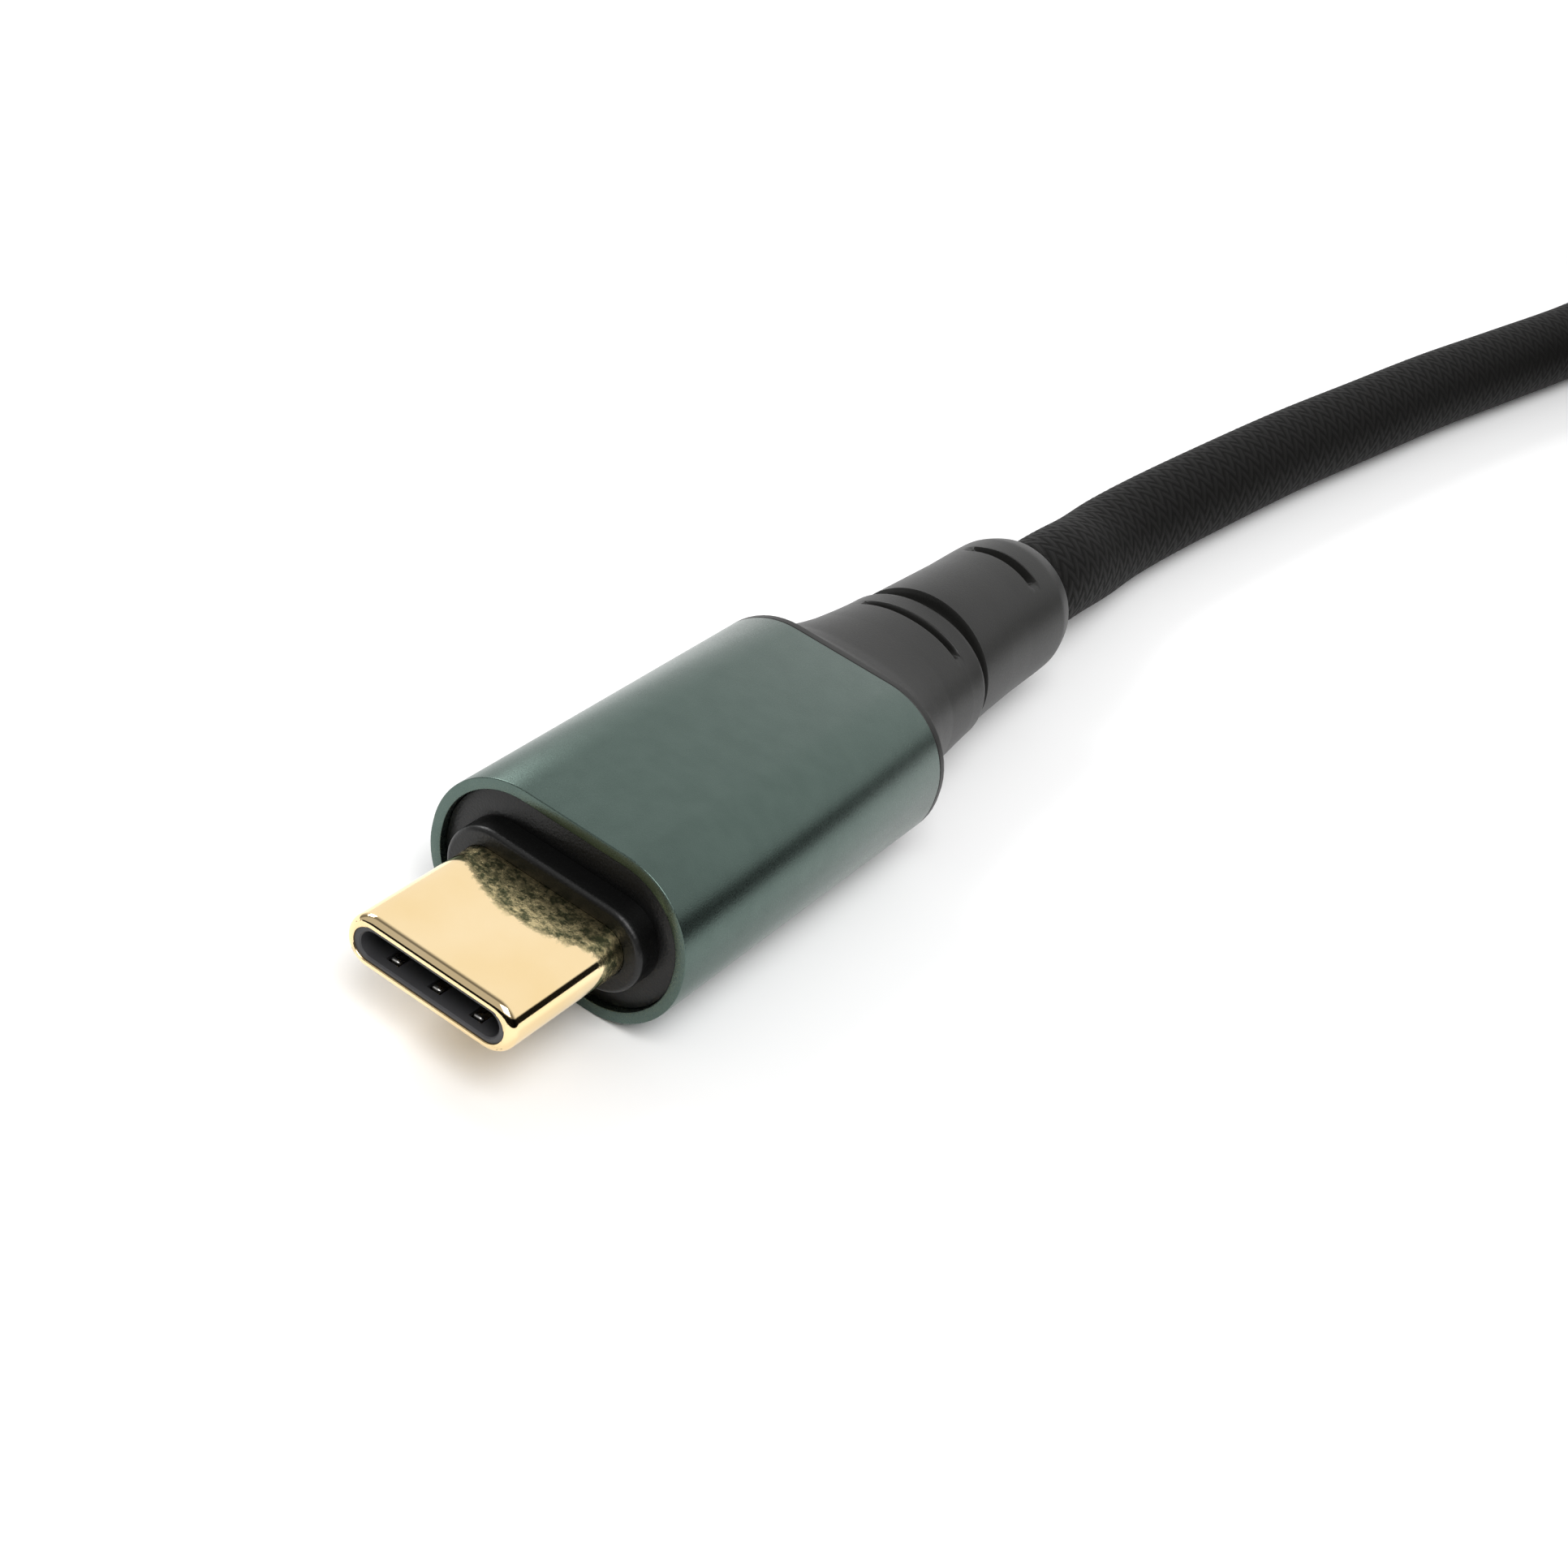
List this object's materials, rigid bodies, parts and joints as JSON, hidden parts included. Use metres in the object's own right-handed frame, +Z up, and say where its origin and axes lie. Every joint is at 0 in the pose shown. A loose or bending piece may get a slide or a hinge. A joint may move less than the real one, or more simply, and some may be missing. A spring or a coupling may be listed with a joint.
{
  "type": "usb-c cable",
  "caption": "Braided data and charging cable with an oval reversible plug in a metal sleeve on each end, near plug laid out and the rest tied in a hank.",
  "frame": {"origin": "centre of the near plug's outline on the surface that it lies on, cord and far plug left out", "axes": "+X across the near plug's width, +Y from its mouth towards its cord, +Z up, square to its flat side"},
  "size_m": [0.0528, 0.2062, 0.0183],
  "materials": {
    "gold_plate": "polished gold plate on a drawn steel shell",
    "mouth_plastic": "charcoal liquid-crystal polymer",
    "spring_steel": "thin stainless spring sheet",
    "contact_gold": "gold-plated copper alloy",
    "carrier_plastic": "black moulded carrier",
    "board_green": "green solder mask on glass laminate",
    "solder": "bright solder",
    "tinned_can": "tinned sheet",
    "ferrule_metal": "crimped and plated ferrule",
    "braid_wire": "tinned copper braid",
    "jacket": "soft black jacket",
    "collar_plastic": "matt black moulded collar",
    "anodised_sleeve": "bead-blasted grey-green anodised aluminium",
    "relief_rubber": "soft-touch charcoal elastomer",
    "chip_black": "moulded chip package",
    "chip_ceramic": "ceramic chip parts with tinned ends",
    "wire_red": "red wire insulation",
    "wire_black": "black wire insulation",
    "wire_white": "white wire insulation",
    "wire_green": "green wire insulation",
    "wire_blue": "blue wire insulation",
    "cord_textile": "black braided textile cover",
    "strap_fabric": "black hook-and-loop strap"
  },
  "bodies": {
    "plug_and_cord": {"near_shell": "gold_plate", "near_insulator": "mouth_plastic", "near_contact_tails": "contact_gold", "near_contact_carrier": "carrier_plastic", "near_mid_plate": "spring_steel", "near_paddle_board": "board_green", "near_solder_joints": "solder", "near_can_top": "tinned_can", "near_can_bottom": "tinned_can", "near_crimp_ferrule": "ferrule_metal", "near_shield_braid": "braid_wire", "near_cable_end": "jacket", "near_front_collar": "collar_plastic", "near_sleeve": "anodised_sleeve", "near_strain_relief": "relief_rubber", "near_marker_chip": "chip_black", "near_chip_passives": "chip_ceramic", "near_wire_red": "wire_red", "near_wire_black": "wire_black", "near_wire_white": "wire_white", "near_wire_green": "wire_green", "near_wire_blue": "wire_blue", "far_shell": "gold_plate", "far_insulator": "mouth_plastic", "far_contact_tails": "contact_gold", "far_contact_carrier": "carrier_plastic", "far_mid_plate": "spring_steel", "far_paddle_board": "board_green", "far_solder_joints": "solder", "far_can_top": "tinned_can", "far_can_bottom": "tinned_can", "far_crimp_ferrule": "ferrule_metal", "far_shield_braid": "braid_wire", "far_cable_end": "jacket", "far_front_collar": "collar_plastic", "far_sleeve": "anodised_sleeve", "far_strain_relief": "relief_rubber", "far_board_parts": "chip_black", "far_wires": "wire_red", "cord_run": "cord_textile", "cord_hank": "cord_textile", "cord_tail": "cord_textile", "hank_strap": "strap_fabric"},
    "near_spring_top": {"near_spring_top": "spring_steel"},
    "near_spring_bottom": {"near_spring_bottom": "spring_steel"},
    "near_latch_left": {"near_latch_left": "spring_steel"},
    "near_latch_right": {"near_latch_right": "spring_steel"},
    "near_contacts_top": {"near_contacts_top": "contact_gold"},
    "near_contacts_bottom": {"near_contacts_bottom": "contact_gold"},
    "far_spring_top": {"far_spring_top": "spring_steel"},
    "far_spring_bottom": {"far_spring_bottom": "spring_steel"},
    "far_latch_left": {"far_latch_left": "spring_steel"},
    "far_latch_right": {"far_latch_right": "spring_steel"},
    "far_contacts_top": {"far_contacts_top": "contact_gold"},
    "far_contacts_bottom": {"far_contacts_bottom": "contact_gold"}
  },
  "joints": [
    {"name": "near_spring_top_flex", "type": "hinge", "parent": "plug_and_cord", "child": "near_spring_top", "pos_m": [0, -0.02096, 0.00479], "axis": [-1, 0, 0], "range_deg": [0, 5], "stiffness_Nm_per_rad": 0.01},
    {"name": "near_spring_bottom_flex", "type": "hinge", "parent": "plug_and_cord", "child": "near_spring_bottom", "pos_m": [0, -0.02096, 0.0031], "axis": [1, 0, 0], "range_deg": [0, 5], "stiffness_Nm_per_rad": 0.01},
    {"name": "near_latch_left_flex", "type": "hinge", "parent": "plug_and_cord", "child": "near_latch_left", "pos_m": [-0.0035, -0.01482, 0.00394], "axis": [0, 0, -1], "range_deg": [0, 1.8], "stiffness_Nm_per_rad": 0.05},
    {"name": "near_latch_right_flex", "type": "hinge", "parent": "plug_and_cord", "child": "near_latch_right", "pos_m": [0.0035, -0.01482, 0.00394], "axis": [0, 0, 1], "range_deg": [0, 1.8], "stiffness_Nm_per_rad": 0.05},
    {"name": "near_contacts_top_flex", "type": "hinge", "parent": "plug_and_cord", "child": "near_contacts_top", "pos_m": [0, -0.01512, 0.00445], "axis": [-1, 0, 0], "range_deg": [0, 1.7], "stiffness_Nm_per_rad": 0.05},
    {"name": "near_contacts_bottom_flex", "type": "hinge", "parent": "plug_and_cord", "child": "near_contacts_bottom", "pos_m": [0, -0.01512, 0.00345], "axis": [1, 0, 0], "range_deg": [0, 1.7], "stiffness_Nm_per_rad": 0.05},
    {"name": "far_spring_top_flex", "type": "hinge", "parent": "plug_and_cord", "child": "far_spring_top", "pos_m": [0.024, 0.18103, 0.0152], "axis": [1, 0, 0], "range_deg": [0, 5], "stiffness_Nm_per_rad": 0.01},
    {"name": "far_spring_bottom_flex", "type": "hinge", "parent": "plug_and_cord", "child": "far_spring_bottom", "pos_m": [0.024, 0.18103, 0.0135], "axis": [-1, 0, 0], "range_deg": [0, 5], "stiffness_Nm_per_rad": 0.01},
    {"name": "far_latch_left_flex", "type": "hinge", "parent": "plug_and_cord", "child": "far_latch_left", "pos_m": [0.0275, 0.1749, 0.01435], "axis": [0, 0, -1], "range_deg": [0, 1.8], "stiffness_Nm_per_rad": 0.05},
    {"name": "far_latch_right_flex", "type": "hinge", "parent": "plug_and_cord", "child": "far_latch_right", "pos_m": [0.0205, 0.1749, 0.01435], "axis": [0, 0, 1], "range_deg": [0, 1.8], "stiffness_Nm_per_rad": 0.05},
    {"name": "far_contacts_top_flex", "type": "hinge", "parent": "plug_and_cord", "child": "far_contacts_top", "pos_m": [0.024, 0.1752, 0.01485], "axis": [1, 0, 0], "range_deg": [0, 1.7], "stiffness_Nm_per_rad": 0.05},
    {"name": "far_contacts_bottom_flex", "type": "hinge", "parent": "plug_and_cord", "child": "far_contacts_bottom", "pos_m": [0.024, 0.1752, 0.01384], "axis": [-1, 0, 0], "range_deg": [0, 1.7], "stiffness_Nm_per_rad": 0.05}
  ]
}
